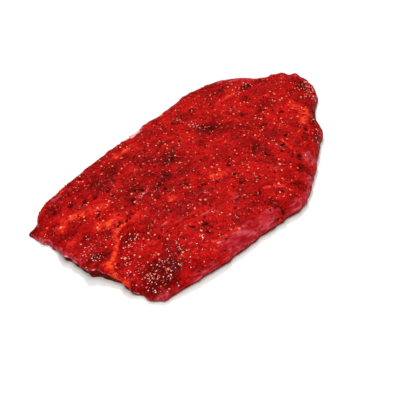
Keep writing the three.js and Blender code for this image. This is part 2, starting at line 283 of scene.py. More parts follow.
def side(points, raggedness):
    """Returns a function from fractions of the side's length to places along its ragged edge."""
    curve = spline(points)
    run = np.concatenate([[0], np.cumsum(np.linalg.norm(np.diff(curve, axis=0), axis=1))])
    fine = np.linspace(0, run[-1], SIDE_STEPS)
    even = follow(curve, run, fine)
    along = np.gradient(even, fine, axis=0)
    along /= np.linalg.norm(along, axis=1)[:, None]
    outward = np.stack([along[:, 1], -along[:, 0]], axis=1)
    stray = sum(share * wave(fine, wavelength, phase) for wavelength, share, phase in RAGGED_WAVES)
    fade = np.sqrt(np.abs(np.sin(math.pi * fine / run[-1])))
    edge = even + outward * (raggedness * fade * stray)[:, None]
    return lambda fraction: follow(edge, fine, fraction * run[-1])


def plan_of(columns, rows):
    """Places inside the outline for grid cells counted from the middle: rings that close in on the spine."""
    half_long, half_wide = COLUMNS // 2, ROWS // 2
    ring = np.minimum(half_long - np.abs(columns), half_wide - np.abs(rows))
    spread = 1 - (ring / half_wide) ** RING_CROWDING
    on_side = half_wide - np.abs(rows) == ring
    side_half = half_long - ring
    end_half = np.maximum(half_wide - ring, 1)
    fraction = np.where(on_side, (columns + side_half) / (2 * side_half), (rows + end_half) / (2 * end_half))
    near, far = side(NEAR_SIDE, RAGGED_SIDES)(fraction), side(FAR_SIDE, RAGGED_SIDES)(fraction)
    cut, narrow = side(CUT_END, RAGGED_ENDS)(fraction), side(NARROW_END, RAGGED_ENDS)(fraction)
    below, left = (rows < 0)[:, None], (columns < 0)[:, None]
    edge = np.where(on_side[:, None], np.where(below, near, far), np.where(left, cut, narrow))
    along = np.where(on_side, fraction, np.where(columns < 0, 0.0, 1.0))[:, None]
    middle = np.array(SPINE[0]) * (1 - along) + np.array(SPINE[1]) * along
    places = middle + (edge - middle) * spread[:, None]
    low, high = places.min(axis=0), places.max(axis=0)
    return (places - (low + high) / 2) * np.array([LENGTH, WIDTH]) / (high - low)


def distance_to_span(places, a, b):
    """How far each place is from a straight span, or each from its own span."""
    run = b - a
    t = np.clip(((places - a) * run).sum(axis=1) / np.maximum((run * run).sum(axis=-1), 1e-9), 0, 1)
    return np.linalg.norm(places - a - t[:, None] * run, axis=1)


def distance_to_line(places, line):
    spans = zip(np.array(line, float), np.array(line[1:], float))
    return np.min([distance_to_span(places, a, b) for a, b in spans], axis=0)


def distance_to_rim(places, rim):
    """How far each place is inside the closed outline."""
    tree = KDTree(len(rim))
    for i, (x, y) in enumerate(rim):
        tree.insert((x, y, 0), i)
    tree.balance()
    nearest = np.array([tree.find((x, y, 0))[1] for x, y in places])
    beside = (rim[(nearest + step) % len(rim)] for step in (-1, 1))
    return np.min([distance_to_span(places, rim[nearest], end) for end in beside], axis=0)


def lip_rise(places):
    """How far the thin lip on the cut end stands off the surface below it."""
    x, y = places.T
    rise = sum(change * smooth((y - start) / (end - start)) for start, end, change in LIP_CHANGES)
    return rise * (1 - smooth((x + LENGTH / 2) / LIP_FADE))


def thickness(places):
    """The slab's height before its rims are rounded and its lip is lifted."""
    x, y = places.T
    height = np.full(len(x), float(THICKNESS))
    height -= (THICKNESS - CUT_END_THICKNESS) * (1 - smooth((x + LENGTH / 2) / CUT_END_TAPER))
    height -= (THICKNESS - NARROW_END_THICKNESS) * (1 - smooth((LENGTH / 2 - x) / NARROW_END_TAPER))
    for swell_x, swell_y, radius, rise in SWELLS:
        height += rise * bump(np.hypot(x - swell_x, y - swell_y) / radius)
    height -= FLAP_DROP * bump((np.hypot(x - FLAP[0], y - FLAP[1]) / FLAP_RADIUS) ** 3)
    sideways = y + BEND * wave(x, BEND_WAVELENGTH)
    for wavelength, rise, slant, phase in BUNDLES:
        height += rise * wave(sideways + slant * x, wavelength, phase)
    return height - SEAM_DEPTH * bump(distance_to_line(places, SEAM) / SEAM_HALF_WIDTH)


def rounding(inside, width):
    """A quarter round from 0 at the rim to 1 at a width inside it."""
    return np.sqrt(1 - (1 - np.clip(inside / width, 0, 1)) ** 2)


def shoulder(places):
    """The width of the rounded rim: wide on the near side's slope, narrow and crisp at the cut end."""
    x, y = places.T
    across = smooth((NEAR_SLOPE_MIDDLE[1] - y) / NEAR_SLOPE_SIZE[1])
    slope = across * bump((x - NEAR_SLOPE_MIDDLE[0]) / NEAR_SLOPE_SIZE[0])
    width = SHOULDER + (NEAR_SHOULDER - SHOULDER) * slope
    crisp = (1 - smooth((x + LENGTH / 2) / CRISP_WIDTH)) * (1 - smooth((CRISP_FROM_Y - y) / CRISP_FADE))
    return width + (CRISP_SHOULDER - width) * crisp


def slab_heights(places, inside, is_top):
    """The height of the top or the underside, by how far inside the outline a place is."""
    waist_top, waist_bottom = WAIST + WAIST_BAND, WAIST - WAIST_BAND
    top = waist_top + (1 - waist_top) * rounding(inside, shoulder(places))
    bottom = waist_bottom * (1 - rounding(inside, UNDERCUT))
    jags = LIP_JAGS * noise(np.column_stack([places / LIP_JAG_LENGTH, inside]), 9)
    under_lip = 1 - smooth((inside - LIP_LEDGE - jags) / LIP_STEP)
    lift = lip_rise(places) * np.where(is_top, 1, under_lip)
    return lift + thickness(places) * np.where(is_top, top, bottom)


def grain_places(points):
    """Each point's place along and across the fibres, which fan out on the near half, and its height."""
    x, y, z = points.T
    fan = 1 + FAN * smooth((x + LENGTH / 2) / LENGTH)
    across = np.where(y < FAN_LINE, FAN_LINE + (y - FAN_LINE) / fan, y)
    broad = points / WANDER_LENGTH
    along = x + WANDER_ALONG * noise(broad, 5)
    return np.stack([along, across + WANDER_ACROSS * noise(broad, 6), z], axis=1)


def patch_mask(points, patches, seed):
    """Listed patches, from 0 to about 1, that fade out softly and are broken up along the grain."""
    x, y, _ = points.T
    mask = np.zeros(len(x))
    for at_x, at_y, half_length, half_width, turn, strength in patches:
        angle = math.radians(turn)
        along = (x - at_x) * math.cos(angle) + (y - at_y) * math.sin(angle)
        across = (y - at_y) * math.cos(angle) - (x - at_x) * math.sin(angle)
        out = np.hypot(along / half_length, across / half_width)
        mask = np.maximum(mask, strength * bump(PATCH_FADE * out))
    broken = layered_noise(grain_places(points) / np.array(PATCH_BREAKS), seed)
    return np.clip(mask * (1 + PATCH_RAGGEDNESS * broken), 0, PATCH_PEAK)


# ---- Mesh helpers ----
def deselect():
    if bpy.context.object and bpy.context.object.mode != "OBJECT":
        bpy.ops.object.mode_set(mode="OBJECT")
    bpy.ops.object.select_all(action="DESELECT")


def read_vectors(items, key):
    flat = np.empty(3 * len(items))
    items.foreach_get(key, flat)
    return flat.reshape(-1, 3)


def coordinates(mesh):
    """The mesh's vertices in millimetres."""
    return read_vectors(mesh.vertices, "co") / MM


def set_coordinates(mesh, points):
    mesh.vertices.foreach_set("co", (points * MM).ravel())
    mesh.update()


def add_attribute(mesh, name, values):
    kind, key = ("FLOAT", "value") if values.ndim == 1 else ("FLOAT_VECTOR", "vector")
    attribute = mesh.attributes.new(name, kind, "POINT")
    attribute.data.foreach_set(key, values.astype(np.float32).ravel())


def finish_piece(piece, material):
    """Gives a piece its material and lets it ride on the steak's one body."""
    piece.data.materials.clear()
    piece.data.materials.append(material)
    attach(piece, "root")


# ---- Materials ----
def linear(colour):
    """An sRGB hex colour such as "b81418" as linear numbers."""
    parts = [int(colour[i : i + 2], 16) / 255 for i in (0, 2, 4)]
    return tuple(c / 12.92 if c <= 0.04045 else ((c + 0.055) / 1.055) ** 2.4 for c in parts)


def opaque(colour):
    return (*colour, 1.0)


def add_node(tree, kind, inputs=None, stops=(), **settings):
    """Adds a node with its settings, a ramp's stops and its inputs. An input is a value, a socket or a node,
    which stands for its first output."""
    made = tree.nodes.new("ShaderNode" + kind)
    for name, value in settings.items():
        setattr(made, name, value)
    for key, value in (inputs or {}).items():
        if isinstance(value, bpy.types.Node):
            value = value.outputs[0]
        if isinstance(value, bpy.types.NodeSocket):
            tree.links.new(value, made.inputs[key])
        else:
            made.inputs[key].default_value = value
    for _ in stops[2:]:
        made.color_ramp.elements.new(0.5)
    for i, (position, colour) in enumerate(stops):
        made.color_ramp.elements[i].position = position
        made.color_ramp.elements[i].color = opaque(colour)
    return made


def new_material(name):
    material = bpy.data.materials.new(name)
    material.use_nodes = True
    material.node_tree.nodes.clear()
    return material, material.node_tree


def noise_field(tree, vector, size, low=0.3, high=0.7, detail=3.0, roughness=0.55, distortion=0.0):
    """Noise with features of a size in the vector's unit, spread so that low becomes 0 and high becomes 1."""
    scale = tuple(1 / np.broadcast_to(size, 3))
    place = add_node(tree, "VectorMath", {0: vector, 1: scale}, operation="MULTIPLY")
    texture = add_node(tree, "TexNoise", {
        "Vector": place, "Scale": 1.0, "Detail": detail, "Roughness": roughness, "Distortion": distortion,
    })
    limits = {"Value": texture, "From Min": low, "From Max": high}
    return add_node(tree, "MapRange", limits, interpolation_type="SMOOTHSTEP")


def flecks(tree, vector, spacing, radius, share):
    """Scattered dots, as a mask: one in each cell of the given spacing, kept for a share of the cells."""
    cells = add_node(tree, "TexVoronoi", {"Vector": vector, "Scale": 1 / spacing}, feature="F1")
    outer, inner = (reach * radius / spacing for reach in (1.25, 0.6))  # a fleck's rim is a little soft
    limits = {"Value": cells, "From Min": outer, "From Max": inner}
    dots = add_node(tree, "MapRange", limits, interpolation_type="SMOOTHSTEP")
    chance = add_node(tree, "SeparateColor", {"Color": cells.outputs["Color"]})
    kept = add_node(tree, "Math", {0: chance, 1: share}, operation="LESS_THAN")
    return add_node(tree, "Math", {0: dots, 1: kept}, operation="MULTIPLY")


def broken_up(tree, mask, pattern, start, full):
    """A soft mask cut up by a pattern, both from 0 to 1: where it is weak, only the pattern's peaks show."""
    raised = add_node(tree, "Math", {0: pattern, 1: 0.5}, operation="ADD")
    total = add_node(tree, "Math", {0: mask, 1: raised}, operation="MULTIPLY")
    limits = {"Value": total, "From Min": start, "From Max": full}
    return add_node(tree, "MapRange", limits, interpolation_type="SMOOTHSTEP")


def marinated_beef(colours):
    """Raw beef under a film of oil, chilli and ground spice: a wet, deep red, browner where spice clots and
    orange where fat shows. Spots of oil give small sharp glints; fibres show as faint streaks. Painted shade
    darkens the underside near the rim and the far rim; painted highlights lighten the cut end's lip."""
    material, tree = new_material("marinated_beef")
    grain = add_node(tree, "Attribute", attribute_name="grain").outputs["Vector"]  # along and across fibres
    fat, paste, bare, pale, edge = (
        add_node(tree, "Attribute", attribute_name=name).outputs["Fac"]
        for name in ("fat", "paste", "bare", "pale", "edge")
    )
    place = add_node(tree, "TexCoord").outputs["Object"]
    millimetres = add_node(tree, "VectorMath", {0: place, 1: (1000, 1000, 1000)}, operation="MULTIPLY")

    # The film's red, by sizes in millimetres. The speckle stands for finer grit, too fine to show.
    drifts = noise_field(tree, grain, (22, 13, 13), distortion=0.6)
    streaks = noise_field(tree, grain, (22, 4, 4), detail=2.0)
    mottle = noise_field(tree, millimetres, 6, detail=2.0, distortion=0.5)
    speckle = noise_field(tree, millimetres, 1.5, 0.33, 0.67, detail=1.0)
    thick_paste_and_shade = add_node(tree, "Math", {0: paste, 1: paste}, operation="MULTIPLY")
    value = add_node(tree, "Math", {0: mottle, 1: 0.28}, operation="MULTIPLY")
    for pattern, share in ((streaks, 0.06), (speckle, 0.4), (drifts, 0.38), (thick_paste_and_shade, -0.33)):
        value = add_node(tree, "Math", {0: pattern, 1: share, 2: value}, operation="MULTIPLY_ADD")
    film_red = [(0.24, colours.marinade_dark), (0.56, colours.marinade), (0.9, colours.marinade_bright)]
    red = add_node(tree, "ValToRGB", {"Fac": value}, film_red)

    # What shows through the film or lies on it, and the painted shade and highlights, each layer as a mask,
    # its strength and its colour.
    torn = noise_field(tree, grain, (9, 2.2, 2.2))
    fibres = noise_field(tree, grain, (12, 4, 4), 0.25, 0.75, detail=4.0)
    # The pale end of the fibres' pinks is partly painted sheen.
    pinks = [(0.1, colours.bare_meat_dark), (0.55, colours.bare_meat), (1.0, colours.bare_meat_pale_and_sheen)]
    strands = noise_field(tree, grain, (6, 5, 5), detail=4.0, distortion=1.0)
    crumbs = noise_field(tree, millimetres, 2.4, roughness=0.65)
    shifted = add_node(tree, "VectorMath", {0: millimetres, 1: (17, 31, 5)}, operation="ADD")
    layers = (
        # Bare meat; along the cut end's rim it is partly painted highlight.
        (broken_up(tree, bare, torn, 0.3, 1.0), 0.9, add_node(tree, "ValToRGB", {"Fac": fibres}, pinks)),
        # Pale skin, and painted highlights on the cut end's rim and the step above the flap.
        (broken_up(tree, pale, torn, 0.5, 1.1), 0.9, opaque(colours.silverskin_and_highlight)),
        (broken_up(tree, fat, strands, 0.3, 0.8), 0.85, opaque(colours.stained_fat)),
        (broken_up(tree, fat, strands, 0.8, 1.2), 1.0, opaque(colours.fat)),
        # Spice paste, and painted shade on the far corner's flap and the near corner's lobe.
        (broken_up(tree, paste, crumbs, 0.6, 1.1), 0.65, opaque(colours.paste)),
        (flecks(tree, millimetres, 5, 0.9, 0.5), 0.6, opaque(colours.paste)),
        (flecks(tree, shifted, 4, 0.55, 0.6), 0.6, opaque(colours.fat)),
        # Painted shade, in the paste's colour: the underside near the rim and a thin line along the far
        # side's rim.
        (edge, 0.85, opaque(colours.paste)),
    )
    for mask, strength, colour in layers:
        cover = add_node(tree, "Math", {0: mask, 1: strength}, operation="MULTIPLY")
        red = add_node(tree, "Mix", {"Factor": cover, 6: red, 7: colour}, data_type="RGBA").outputs[2]

    height = mottle
    for pattern in (streaks, speckle):
        height = add_node(tree, "Math", {0: pattern, 1: 0.3, 2: height}, operation="MULTIPLY_ADD")
    relief = add_node(tree, "Bump", {"Strength": 1.0, "Distance": 0.3 * MM, "Height": height})
    oil_spots = noise_field(tree, millimetres, 3.5, 0.6, 0.68)
    shader = add_node(tree, "BsdfPrincipled", {
        "Base Color": red, "Roughness": 0.5, "IOR": 1.45, "Specular IOR Level": 0.02, "Normal": relief,
        "Coat Weight": oil_spots, "Coat Roughness": 0.1, "Coat IOR": 1.4, "Coat Normal": relief,
    })
    add_node(tree, "OutputMaterial", {"Surface": shader})
    return material


def spice_material(name, stops, roughness, coat, grit):
    """A spice whose copies differ in tone along the stops, finely uneven under a trace of oil. Its grit is
    the size of its specks in millimetres."""
    material, tree = new_material(name)
    place = add_node(tree, "TexCoord").outputs["Object"]
    tint = add_node(tree, "Attribute", attribute_name="tint").outputs["Fac"]
    specks = noise_field(tree, place, grit * MM, detail=2.0)
    tone = add_node(tree, "Math", {0: specks, 1: -0.25, 2: tint}, operation="MULTIPLY_ADD")
    colour = add_node(tree, "ValToRGB", {"Fac": tone}, stops)
    relief = add_node(tree, "Bump", {"Strength": 0.5, "Distance": 0.15 * MM, "Height": specks})
    shader = add_node(tree, "BsdfPrincipled", {
        "Base Color": colour, "Roughness": roughness, "IOR": 1.47, "Specular IOR Level": 0.02,
        "Normal": relief, "Coat Weight": coat, "Coat Roughness": 0.1, "Coat IOR": 1.4,
    })
    add_node(tree, "OutputMaterial", {"Surface": shader})
    return material


# ---- Settings ----
def colour_property(name, description, colour):
    return FloatVectorProperty(
        name=name, description=description, subtype="COLOR", size=3, min=0, max=1, default=linear(colour)
    )


def amount_property(name, description, amount):
    return IntProperty(name=name, description=description, default=amount, min=0)


class MarinadeColours(bpy.types.PropertyGroup):
    marinade: colour_property("Marinade", "The film's usual red", "a20c0c")
    marinade_dark: colour_property("Dark marinade", "Where the film is thick", "700606")
    marinade_bright: colour_property("Bright marinade", "Where the film is thin", "c61510")
    # Also the colour of the painted shade on the underside and along the far rim.
    paste: colour_property("Spice paste", "Clotted ground spice", "500604")
    stained_fat: colour_property("Stained fat", "Fat under red oil", "d4221a")
    fat: colour_property("Fat", "Fat under the orange oil", "e64a20")
    bare_meat: colour_property("Bare meat", "Where little marinade sticks", "c03440")
    bare_meat_dark: colour_property("Dark bare meat", "Its fibres", "a0161e")
    # A paler pink along the fibres, partly painted sheen.
    bare_meat_pale_and_sheen: colour_property("Pale bare meat", "Its wet ridges", "d4606c")
    # Also the colour of the painted highlights on the rims.
    silverskin_and_highlight: colour_property("Silverskin", "Thin pale skin on the rims", "f0b4b4")
    pepper: colour_property("Black pepper", "Cracked peppercorns", "4e0805")
    seed: colour_property("Seeds", "Pale seeds stained by the oil", "ff7d5c")
    flake: colour_property("Chilli flakes", "Dried chilli skin", "9c0e06")
    # Pale garlic tone, lightened near white as a painted glint.
    granule_and_glint: colour_property("Garlic granules", "Wet garlic and salt", "ffdedc")


class SpiceAmounts(bpy.types.PropertyGroup):
    seeds: amount_property("Seeds", "How many small pale seeds", 960)
    pepper: amount_property("Cracked pepper", "How many small peppercorn pieces", 260)
    flakes: amount_property("Chilli flakes", "How many chilli flakes", 160)
    granules: amount_property("Garlic granules", "How many granules", 520)
    ground: amount_property("Ground spice", "How many fine dark grains", 2600)
    grain_size: FloatProperty(
        name="Grain size", description="How large all the spice is, against the usual",
        default=1.0, min=0.1, soft_max=2.0, subtype="FACTOR",
    )


# ---- Meat ----
# Relief as its height, the size of its features in millimetres and a seed. That of the fibres is given
# along, across and down.
FIBRE_RELIEF = [(0.12, (26, 3.2, 4), 1), (0.32, (48, 8, 8), 2)]
DIMPLE_RELIEF = [(0.34, 7, 3), (0.22, 3.2, 4)]
PASTE_RELIEF = (0.45, 2.6, 7)
ROUGH_END_RELIEF = (1.0, 5.5, 8)
ROUGH_END_FROM_X = 120
ROUGH_END_FADE = 50
RELIEF_FADE = 2.5  # the relief dies out this close to the flat underside
FLAT = 0.01  # what is lower than this lies flat
OVER_BOX = 1.5  # how far relief may pass the solid's box sideways
CUT_LIP_DEPTH = 8  # the cut end's lip, pale with painted highlight, shows this far in, and fades out after it
CUT_LIP_FADE = 12
THIN_LIP_FROM_Y = -6
THIN_LIP_FADE = 14
THIN_LIP_WIDTH = 1
THIN_LIP_SOFTNESS = 3
# Painted highlight: a thin pale line along the top of the cut end's rim.
LIP_HIGHLIGHT = 0.65
LIP_HIGHLIGHT_WIDTH = 0.8
# Painted shade: the underside this close to the rim, with the hollow under the cut end's lip, is darkened to
# the paste's colour.
PAINTED_UNDERSIDE_SHADE_DEPTH = 8
PAINTED_UNDERSIDE_SHADE_FADE = 6
PAINTED_RIM_SHADE = 0.7  # on the far side, a thin line of painted shade darkens the rim
PAINTED_RIM_SHADE_WIDTH = 1.4
FAR_FROM_Y = -5  # the far side starts about here in the middle of the steak's length
FAR_SLANT = 3  # and that much further along, it starts one further towards the near side
FAR_FADE = 20


class STEAK_OT_meat(bpy.types.Operator):
    """Models the slab of meat with its fibres, fat seam and ragged ends"""

    bl_idname = "steak.meat"
    bl_label = "Meat"

    def execute(self, context):
        meat, columns, rows, is_top = self.add_grid(context)
        mesh = meat.data
        places = plan_of(columns, rows)
        on_rim = (np.abs(columns) == COLUMNS // 2) | (np.abs(rows) == ROWS // 2)
        rim = self.rim(columns, rows, places, is_top & on_rim)
        inside = np.where(on_rim, 0, distance_to_rim(places, rim))
        points = np.column_stack([places, slab_heights(places, inside, is_top)])
        set_coordinates(mesh, points)
        self.turn_faces_outwards(context, meat)

        grain = grain_places(points)
        masks = self.masks(points, inside, is_top)
        relief = self.relief(points, grain, masks["paste"], is_top)
        normals = read_vectors(mesh.vertex_normals, "vector")
        set_coordinates(mesh, self.inside_box(points + normals * relief[:, None]))
        add_attribute(mesh, "grain", grain)
        for name, mask in masks.items():
            add_attribute(mesh, name, mask)
        self.thin_out_underside(meat)
        bpy.ops.object.shade_smooth()
        finish_piece(meat, marinated_beef(context.scene.marinade_colours))
        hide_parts(SOLID)
        return {"FINISHED"}

    @staticmethod
    def add_grid(context):
        """Adds a closed flat box of two grids, and tells each vertex's column, row and side."""
        deselect()
        bpy.ops.mesh.primitive_grid_add(x_subdivisions=COLUMNS, y_subdivisions=ROWS, size=MM)
        meat = context.object
        meat.name = meat.data.name = "marinated_steak"
        bpy.ops.object.mode_set(mode="EDIT")
        bpy.ops.mesh.extrude_region_move(TRANSFORM_OT_translate={"value": (0, 0, MM)})
        bpy.ops.object.mode_set(mode="OBJECT")
        x, y, z = coordinates(meat.data).T
        return meat, np.rint(x * COLUMNS), np.rint(y * ROWS), z > 0.5

    @staticmethod
    def rim(columns, rows, places, chosen):
        """The outline's places in order round the steak."""
        angle = np.arctan2(rows[chosen] / ROWS, columns[chosen] / COLUMNS)
        return places[chosen][np.argsort(angle)]

    @staticmethod
    def turn_faces_outwards(context, meat):
        deselect()
        context.view_layer.objects.active = meat
        bpy.ops.object.mode_set(mode="EDIT")
        bpy.ops.mesh.select_all(action="SELECT")
        bpy.ops.mesh.normals_make_consistent(inside=False)
        bpy.ops.object.mode_set(mode="OBJECT")

    @staticmethod
    def masks(points, inside, is_top):
        """How strongly fat, paste with some painted shade, bare meat, pale skin with painted highlights, and
        painted shade on the rims and underside show at each point.
        """
        places = points[:, :2]
        x, y = places.T
        fat = patch_mask(points, FAT_PATCHES, 11)
        for half_width, strength, line in FAT_VEINS:
            out = distance_to_line(places, line) / half_width
            fat = np.maximum(fat, strength * bump(PATCH_FADE * out))
        paste = patch_mask(points, PASTE_AND_SHADE_PATCHES, 21)
        cut_end = 1 - smooth((x + LENGTH / 2 - CUT_LIP_DEPTH) / CUT_LIP_FADE)
        # A pink band along the far half of the cut end's rim: partly bare cut meat, partly painted highlight.
        pink_lip_and_highlight = cut_end * smooth((y - THIN_LIP_FROM_Y) / THIN_LIP_FADE)
        pink_lip_and_highlight = pink_lip_and_highlight * (1 - smooth((inside - THIN_LIP_WIDTH) / THIN_LIP_SOFTNESS))
        bare = np.maximum(patch_mask(points, BARE_PATCHES, 31), np.where(is_top, pink_lip_and_highlight, 0))
        # Painted highlight along the top of the cut end's rim.
        lip_highlight = LIP_HIGHLIGHT * cut_end * (1 - smooth(inside / LIP_HIGHLIGHT_WIDTH))
        pale = np.maximum(patch_mask(points, PALE_AND_HIGHLIGHT_PATCHES, 41), np.where(is_top, lip_highlight, 0))
        # Painted shade: the underside near the rim, with the hollow under the lip, and a thin line along the
        # far side's rim are darkened.
        underside = 1 - smooth((inside - PAINTED_UNDERSIDE_SHADE_DEPTH) / PAINTED_UNDERSIDE_SHADE_FADE)
        far_side = smooth((x / FAR_SLANT + y - FAR_FROM_Y) / FAR_FADE)
        far_rim = PAINTED_RIM_SHADE * (1 - smooth(inside / PAINTED_RIM_SHADE_WIDTH)) * far_side * (1 - cut_end)
        edge = np.where(is_top, far_rim, underside) * (1 - np.clip(pale, 0, 1))
        return {"fat": fat, "paste": paste, "bare": bare, "pale": pale, "edge": edge}

    @staticmethod
    def relief(points, grain, paste, is_top):
        """How far fibres, dimples, clots of paste and the rough narrow end stand off the smooth slab."""
        height = sum(rise * noise(grain / np.array(size), seed) for rise, size, seed in FIBRE_RELIEF)
        height += sum(rise * noise(points / size, seed) for rise, size, seed in DIMPLE_RELIEF)
        rise, size, seed = PASTE_RELIEF
        height += rise * paste * np.abs(noise(points / size, seed))
        rise, size, seed = ROUGH_END_RELIEF
        rough_end = smooth((points[:, 0] - ROUGH_END_FROM_X) / ROUGH_END_FADE)
        height += rise * rough_end * noise(points / size, seed)
        is_free = is_top | (points[:, 2] > FLAT)
        return height * np.clip(points[:, 2] / RELIEF_FADE, 0, 1) * is_free

    @staticmethod
    def inside_box(points):
        """Keeps the meat near the solid's box, and above what it lies on."""
        low, high = (np.array(corner) / MM for corner in (steak_low, steak_high))
        low, high = low - OVER_BOX, high + OVER_BOX
        return np.clip(points, [*low[:2], 0], [*high[:2], np.inf])

    @staticmethod
    def thin_out_underside(meat):
        """Joins cells that lie flat on the surface below, where there is nothing to see."""
        group = meat.vertex_groups.new(name="flat underside")
        flat = np.flatnonzero(coordinates(meat.data)[:, 2] < FLAT)
        group.add(flat.tolist(), 1.0, "REPLACE")
        modifier = meat.modifiers.new("thin out", "DECIMATE")
        modifier.ratio = UNDERSIDE_KEPT
        modifier.vertex_group = group.name
        modifier.vertex_group_factor = 10
        bpy.ops.object.modifier_apply(modifier=modifier.name)
        meat.vertex_groups.clear()


# ---- Spice ----
# The larger grains are those of the solid, drawn by the same rule.
GRAINS = 140
GRAIN_RADIUS = (1.1, 1.9)
SEED_SHARE = 0.4
BARE_RIM = 9
APART = 11
GRAIN_SIZE = 0.72  # how much finer the true spice is than the solid's grains
LARGE_SEED_SIZE = 0.9 * GRAIN_SIZE
# Radii in millimetres, as the least and the largest.
LARGE_PEPPER_RADIUS = (1.4, 2.1)
CRUMB_RADIUS = (0.6, 1.3)
PEPPER_RADIUS = (0.45, 1.1)
FLAKE_RADIUS = (0.8, 1.6)
GROUND_RADIUS = (0.25, 0.55)
# Radii of grains that are mostly small, as the least, how much the largest adds and how rare large ones are.
SEED_RADIUS = (0.4, 0.7, 2.5)
GRANULE_RADIUS = (0.28, 0.5, 1.8)
PEPPER_CRUMBS = 3  # how many small pieces lie beside each large one
CRUMB_SPREAD = 2.2
SEED_TIP_NARROWING = 0.35
SEED_TIP_REACH = 0.18
FLAKE_SIDES = 9
FLAKE_THICKNESS = 0.25
FLAKE_RIM = 0.45
FLAKE_NARROWNESS = 0.75
FLAKE_REACH = 1.2  # how far out its corners are
FLAKE_CURL = 0.35  # how far the corners curl up or down
LEAN = 0.18  # how unevenly grains sit on the surface
CROWDING = 1.5  # how closely spice keeps to the middle of its patches
EVEN_DENSITY = 0.9  # share of the drawn places that flakes keep, and seeds but for two losses
BARE_LOSS = 0.8  # how much of that the seeds lose on bare meat
RIM_LOSS = 0.9  # and what share of the rest by the far long side's rim
UNEVENNESS = (0.85, 1.15)  # how far copies of a shape are squeezed or stretched
SEEDLESS_FROM_Y = 50  # seeds thin out from here towards the far long side's rim
SEEDLESS_FADE = 30
SEEDLESS_RIM = 14
RIM_STEP = 6  # every so many of the outline's points are enough to place the grains
TRIES = 4000  # places that are drawn at a time
PATCH_HEIGHT = 15.0  # where the patches' pattern is read for a place that has no height yet
ABOVE = 60  # higher than any of the meat


def draw(n, row):
    """The n-th number of the solid's seeded random row."""
    value = math.sin(n * 12.9898 + row * 78.233) * 43758.5453
    return value - math.floor(value)


def solid_grains(rim):
    """The solid's grains, as a place, a radius and whether it is a seed."""
    grains = []
    n = 0
    while len(grains) < GRAINS:
        n += 1
        place = np.array([LENGTH * (draw(n, 1) - 0.5), WIDTH * (draw(n, 2) - 0.5)])
        if not inside_outline(place, rim) or distance_to_line(place[None], [*rim, rim[0]])[0] < BARE_RIM:
            continue
        if any(np.hypot(*(place - other)) < APART for other, _, _ in grains):
            continue
        radius = GRAIN_RADIUS[0] + (GRAIN_RADIUS[1] - GRAIN_RADIUS[0]) * draw(n, 3)
        grains.append((place, radius, draw(n, 4) < SEED_SHARE))
    return grains


def inside_outline(place, rim):
    (x1, y1), (x2, y2) = rim.T, np.roll(rim, -1, axis=0).T
    straddles = (y1 > place[1]) != (y2 > place[1])
    crossing = x1 + (x2 - x1) * (place[1] - y1) / np.where(straddles, y2 - y1, 1)
    return bool((straddles & (place[0] < crossing)).sum() % 2)


def take_shape(context):
    """Reads the active object's shape as vertices in millimetres and triangles, then deletes it."""
    shape = context.object
    bpy.ops.object.mode_set(mode="EDIT")
    bpy.ops.mesh.select_all(action="SELECT")
    bpy.ops.mesh.quads_convert_to_tris()
    bpy.ops.mesh.normals_make_consistent(inside=False)
    bpy.ops.object.mode_set(mode="OBJECT")
    points = coordinates(shape.data)
    triangles = np.array([tuple(face.vertices) for face in shape.data.polygons])
    bpy.data.objects.remove(shape, do_unlink=True)
    return points, triangles


def start_ball(subdivisions, stretch):
    """Adds a ball of 1 mm radius, stretched along x, y and z, and leaves it in edit mode."""
    deselect()
    bpy.ops.mesh.primitive_ico_sphere_add(subdivisions=subdivisions, radius=MM)
    bpy.ops.object.mode_set(mode="EDIT")
    bpy.ops.transform.resize(value=stretch)


def broken_ball(context, stretch, cuts):
    """A ball that is broken off flat at each cut: a direction and a distance in millimetres."""
    start_ball(2, stretch)
    for direction, reach in cuts:
        bpy.ops.mesh.select_all(action="SELECT")
        normal = Vector(direction).normalized()
        bpy.ops.mesh.bisect(
            plane_co=normal * reach * MM, plane_no=normal, use_fill=True, clear_outer=True
        )
    bpy.ops.object.mode_set(mode="OBJECT")
    return take_shape(context)


def seed_shape(context, stretch):
    """An oval seed, one end drawn out to a blunt tip."""
    points, triangles = broken_ball(context, stretch, [])
    tip = np.clip(points[:, 0] / stretch[0], 0, 1) ** 2
    points[:, 1:] *= 1 - SEED_TIP_NARROWING * tip[:, None]
    points[:, 0] *= 1 + SEED_TIP_REACH * tip
    return points, triangles


def flake_shape(context, turn):
    """A torn, curled scrap of chilli skin, about 2 mm across."""
    deselect()
    bpy.ops.mesh.primitive_circle_add(vertices=FLAKE_SIDES, radius=MM, fill_type="NGON")
    bpy.ops.object.mode_set(mode="EDIT")
    bpy.ops.mesh.inset(thickness=FLAKE_RIM * MM)
    bpy.ops.mesh.select_all(action="SELECT")
    bpy.ops.mesh.extrude_region_move(TRANSFORM_OT_translate={"value": (0, 0, FLAKE_THICKNESS * MM)})
    bpy.ops.object.mode_set(mode="OBJECT")
    points, triangles = take_shape(context)
    angle = np.arctan2(points[:, 1], points[:, 0])
    torn = 1 + 0.28 * np.sin(3 * angle + turn) + 0.2 * np.sin(5 * angle + 2 * turn)
    points[:, :2] *= torn[:, None]
    points[:, 1] *= FLAKE_NARROWNESS
    points[:, 2] += FLAKE_CURL * (points[:, 0] / FLAKE_REACH) ** 2 * math.cos(turn)
    return points, triangles


